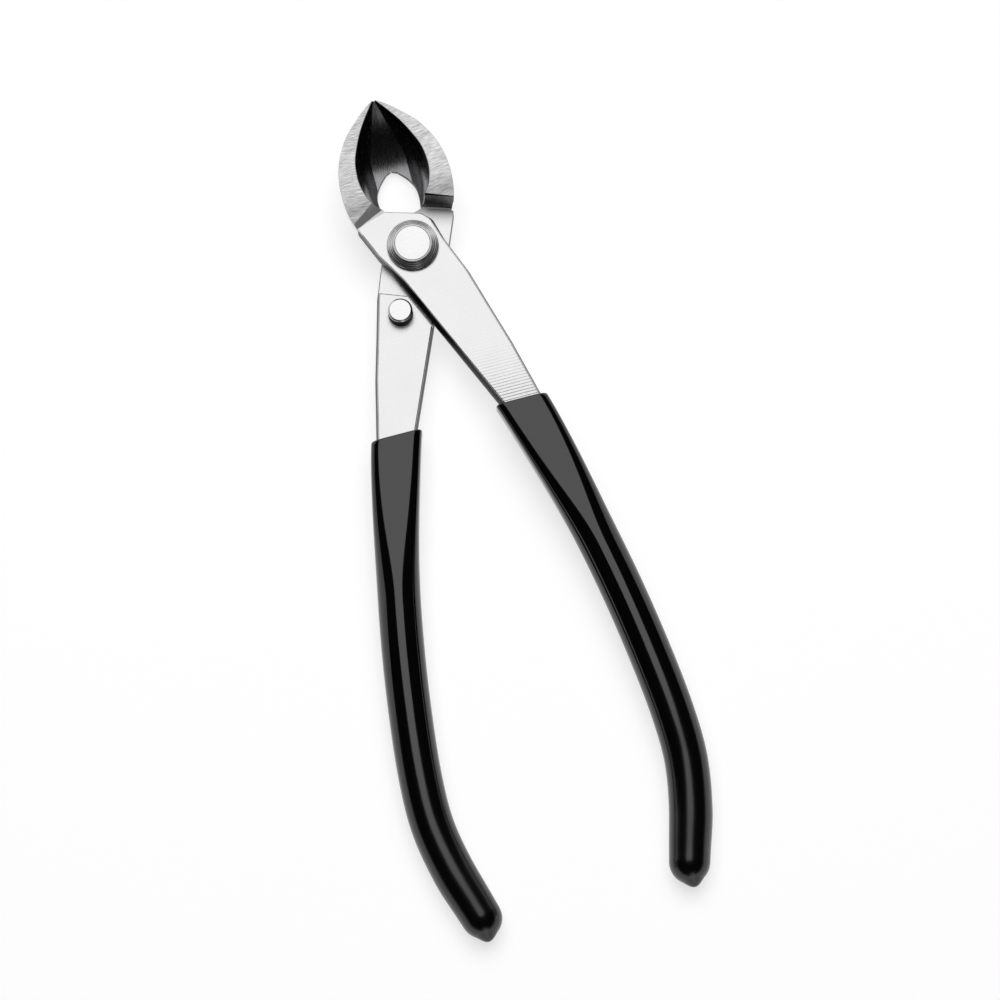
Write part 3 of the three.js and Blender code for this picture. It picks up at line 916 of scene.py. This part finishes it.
# Rivet
# A soft steel rivet, spread at both ends into the washers' countersinks and then ground
# flat. Its face is bright, with the faint marks of the grinding.
pin_steel = ground_steel("bright ground steel", ("c1c1c2", "c9c9ca"), 0.24, 12, 0.25, 0.0005)
rivet_low, rivet_high = (corner.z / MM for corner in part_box("pivot_rivet"))
pin_edge = 0.08
rivet_corners = [
    (0, rivet_low), (rivet_head_radius, rivet_low), (rivet_radius, rivet_low + spread_depth),
    (rivet_radius, rivet_high - spread_depth), (rivet_head_radius, rivet_high), (0, rivet_high)]
turned_piece(
    "spread_rivet", "pivot_rivet", softened(rivet_corners, pin_edge), pin_steel)


# Stop pin
# A hardened pin pressed through the lower stem. Its chamfered end stands up beside the
# upper stem and keeps the blades from being driven past each other.
pin_low, pin_high = (corner.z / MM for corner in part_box("stop_pin"))
pin_chamfer = 0.4
pin_corners = [
    (0, pin_low), (pin_radius - pin_chamfer, pin_low), (pin_radius, pin_low + pin_chamfer),
    (pin_radius, pin_high - pin_chamfer), (pin_radius - pin_chamfer, pin_high), (0, pin_high)]
turned_piece(
    "stop_pin_turned", "stop_pin", softened(pin_corners, pin_edge), pin_steel,
    pin_place)


# Grips
# Each handle was dipped in hot liquid vinyl and hung to drain, which left a smooth glossy
# skin a millimetre thick, a rounded lip, slight waves and a drip at the end.
def dipped_vinyl():
    """Nearly black vinyl that mirrors sharply, with slight waves as wide as a finger.

    Hands have dulled it a little towards the end of the handle. Sizes are in mm.
    """
    wave_width, wave_length, wave_height = 9, 30, 0.3
    handled_from, handled_to = 95, 150
    material, tree, shader = finish_of("dipped glossy vinyl")
    shader.inputs["IOR"].default_value = 1.54
    place = node(tree, "ShaderNodeTexCoord").outputs["Object"]
    stretched = node(tree, "ShaderNodeMapping", {
        "Vector": place,
        "Scale": [1 / (size * MM) for size in (wave_width, wave_length, wave_width)],
    }).outputs["Vector"]
    waves = node(tree, "ShaderNodeTexNoise", {
        "Vector": stretched, "Scale": 1, "Detail": 2}).outputs["Fac"]
    bump = node(tree, "ShaderNodeBump", {
        "Height": waves, "Strength": 0.12, "Distance": wave_height * MM}).outputs["Normal"]
    smears = node(tree, "ShaderNodeMapRange", {
        "Value": waves, "To Min": 0.06, "To Max": 0.1}).outputs["Result"]
    length_way = node(tree, "ShaderNodeSeparateXYZ", {0: place}).outputs["Y"]
    handled = node(tree, "ShaderNodeMapRange", {
        "Value": length_way, "From Min": pivot.y - handled_to * MM,
        "From Max": pivot.y - handled_from * MM, "To Min": 0.16, "To Max": 0}).outputs["Result"]
    dulled = node(tree, "ShaderNodeMath", {0: smears, 1: handled}, operation="ADD").outputs[0]
    mixed = node(tree, "ShaderNodeMix", {
        0: waves, 6: tone("040405"), 7: tone("070708")}, data_type="RGBA").outputs[2]
    tree.links.new(mixed, shader.inputs["Base Color"])
    tree.links.new(bump, shader.inputs["Normal"])
    tree.links.new(dulled, shader.inputs["Roughness"])
    return material


vinyl = dipped_vinyl()
grip_sides, inside_rows, lip_rows, outside_rows, end_rows = 96, 30, 8, 150, 24
skin_thickness, lip_height, inside_end = 0.85, 0.4, 0.94
square_length, lip_search = 14, 0.0005
slimming, slim_from, slim_until = 0.06, 3.2, 0.6
drip_length, drip_radius, drip_from, drip_full, drip_rows = 0.95, 2.9, 6, 2, 40
grip_crease = math.radians(60)


def grip(name, node_name, body, side, base):
    """One closed skin: up the inside, round the lip, down the outside and over the end."""
    at, length = handle_line(side, base + stem_thickness / 2)
    lip_share = 0.0
    while at(lip_share)[0].y > -lip_reach:
        lip_share += lip_search
    lip_foot = lip_share + lip_height / length
    dome = grip_width / 2 / length
    end_share = 1 - drip_length / length

    def square(share):
        """The lip is cut square to the tool, and further down the rings follow the handle."""
        return 1 - smoothstep(share, lip_share, lip_share + square_length / length)

    def slimmed(share):
        """The handle draws in a little before its rounded end."""
        return 1 - slimming * smoothstep(
            share, end_share - slim_from * dome, end_share - slim_until * dome)

    rings = []
    for i in range(inside_rows + 1):
        share = lerp(inside_end, lip_foot, i / inside_rows)
        rings.append(handle_ring(at, share, skin_thickness, 1, grip_sides, square(share)))
    for k in range(1, lip_rows):
        turn = k / lip_rows * math.pi
        share = lip_share + lip_height / length * (1 - math.sin(turn))
        inset_by = lerp(skin_thickness, 0, (1 - math.cos(turn)) / 2)
        rings.append(handle_ring(at, share, inset_by, 1, grip_sides, 1))
    for i in range(outside_rows + 1):
        share = lerp(lip_foot, end_share - dome, i / outside_rows)
        rings.append(handle_ring(at, share, 0, slimmed(share), grip_sides, square(share)))
    for k in range(1, end_rows + 1):
        turn = k / (end_rows + 1) * math.pi / 2
        share = end_share - dome * (1 - math.sin(turn))
        rings.append(handle_ring(at, share, 0, slimmed(share) * math.cos(turn), grip_sides))

    # The last drop ran to the lowest point while the handle hung, and set there.
    lowest = min((p for ring in rings[-end_rows:] for p in ring), key=lambda p: p.y)
    for ring in rings[-drip_rows:]:
        for p in ring:
            away = math.hypot(p.x - lowest.x, p.z - lowest.z)
            near_end = smoothstep(p.y, lowest.y + drip_from, lowest.y + drip_full)
            p.y -= drip_length * near_end * max(0, 1 - (away / drip_radius) ** 2) ** 2
    made = body_of(name, skin([[tuple(p) for p in ring] for ring in rings]), [vinyl])
    made.data.set_sharp_from_angle(angle=grip_crease)
    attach(made, body)
    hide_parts(node_name)


grip("lower_dipped_grip", "lower_grip", "lower", -1, lower_base)
grip("upper_dipped_grip", "upper_grip", "upper", 1, upper_base)


# Studio
# A white paper sheet swept up high behind the tool and low elsewhere, an oval softbox that
# the flats mirror, a key lamp that casts the soft shadows, and a small card in front.
def white_paper():
    """Matt white paper, seen evenly bright by the camera and in the steel."""
    glow_near, glow_far, nearest, furthest = 0.7, 0.95, 0.5, 3
    material, tree, shader = finish_of("white paper sweep")
    shader.inputs["Base Color"].default_value = tone("aaaaaa")
    shader.inputs["Roughness"].default_value = 0.9
    shader.inputs["Specular IOR Level"].default_value = 0
    shader.inputs["Emission Color"].default_value = tone("ffffff")
    place = node(tree, "ShaderNodeTexCoord").outputs["Object"]
    distance = node(tree, "ShaderNodeVectorMath", {0: place}, operation="LENGTH").outputs["Value"]
    strength = node(tree, "ShaderNodeMapRange", {
        "Value": distance, "From Min": nearest, "From Max": furthest, "To Min": glow_near,
        "To Max": glow_far}).outputs["Result"]
    path = node(tree, "ShaderNodeLightPath").outputs
    seen = path["Is Camera Ray"]
    for ray in ("Is Glossy Ray", "Is Transmission Ray"):
        seen = node(tree, "ShaderNodeMath", {0: seen, 1: path[ray]}, operation="MAXIMUM").outputs[0]
    glow = node(tree, "ShaderNodeMath", {0: seen, 1: strength}, operation="MULTIPLY").outputs[0]
    tree.links.new(glow, shader.inputs["Emission Strength"])
    return material


# The studio's sizes are in metres.
sheet_radius, cove_radius, cove_steps, sheet_sides = 9.0, 0.6, 12, 96
low_rim, high_rim, rise_from, rise_until = 1.1, 8.0, 0.2, 0.8
sheet_merge, over_cove = 1e-6, 0.01
sheet = bmesh.new()
sheet_profile = [Vector((0, 0, 0)), Vector((sheet_radius - cove_radius, 0, 0))]
for k in range(1, cove_steps + 1):
    turn = k / cove_steps * math.pi / 2
    sheet_profile.append(Vector((
        sheet_radius - cove_radius + cove_radius * math.sin(turn), 0,
        cove_radius * (1 - math.cos(turn)))))
sheet_profile.append(Vector((sheet_radius, 0, low_rim)))
sheet_corners = [sheet.verts.new(p) for p in sheet_profile]
sheet_edges = [sheet.edges.new(pair) for pair in zip(sheet_corners, sheet_corners[1:])]
bmesh.ops.spin(
    sheet, geom=sheet_corners + sheet_edges, angle=2 * math.pi, steps=sheet_sides,
    use_merge=True, axis=(0, 0, 1), cent=(0, 0, 0))
bmesh.ops.remove_doubles(sheet, verts=sheet.verts, dist=sheet_merge)
for vert in sheet.verts:
    if vert.co.z > cove_radius + over_cove:
        behind = smoothstep(vert.co.y / sheet_radius, rise_from, rise_until)
        vert.co.z = lerp(low_rim, high_rim, behind)
bmesh.ops.recalc_face_normals(sheet, faces=sheet.faces)
if sum(face.normal.z for face in sheet.faces) < 0:
    bmesh.ops.reverse_faces(sheet, faces=sheet.faces)
sweep = body_of("white_paper_sweep", sheet, [white_paper()])


def soft_lamp(name, direction, distance, shape, sizes, power, mirrored):
    """A soft lamp aimed at the tool, whose reflection may be left out."""
    lamp = bpy.data.lights.new(name, "AREA")
    lamp.shape, lamp.energy = shape, power
    lamp.size, lamp.size_y = sizes
    made = bpy.data.objects.new(name, lamp)
    made.location = Vector(direction).normalized() * distance
    made.rotation_euler = Vector(direction).to_track_quat("Z", "Y").to_euler()
    made.visible_camera = False
    made.visible_glossy = mirrored
    bpy.context.scene.collection.objects.link(made)


soft_lamp("oval_softbox", (0.06, 0.5, 1.35), 1.45, "ELLIPSE", (1.1, 1.45), 7.1, True)
soft_lamp("key_lamp", (0.12, 0.3, 1), 1.8, "SQUARE", (1.7, 1.7), 20, False)
soft_lamp("front_card", (0, -1, 0.2), 1.6, "SQUARE", (0.6, 0.6), 0.9, True)

dimness = (0.01, 0.01, 0.01, 1)
world = bpy.data.worlds.new("dim studio")
bpy.context.scene.world = world
world.use_nodes = True
world.node_tree.nodes["Background"].inputs["Color"].default_value = dimness
world.node_tree.nodes["Background"].inputs["Strength"].default_value = 1
bpy.context.scene.view_settings.view_transform = "Standard"
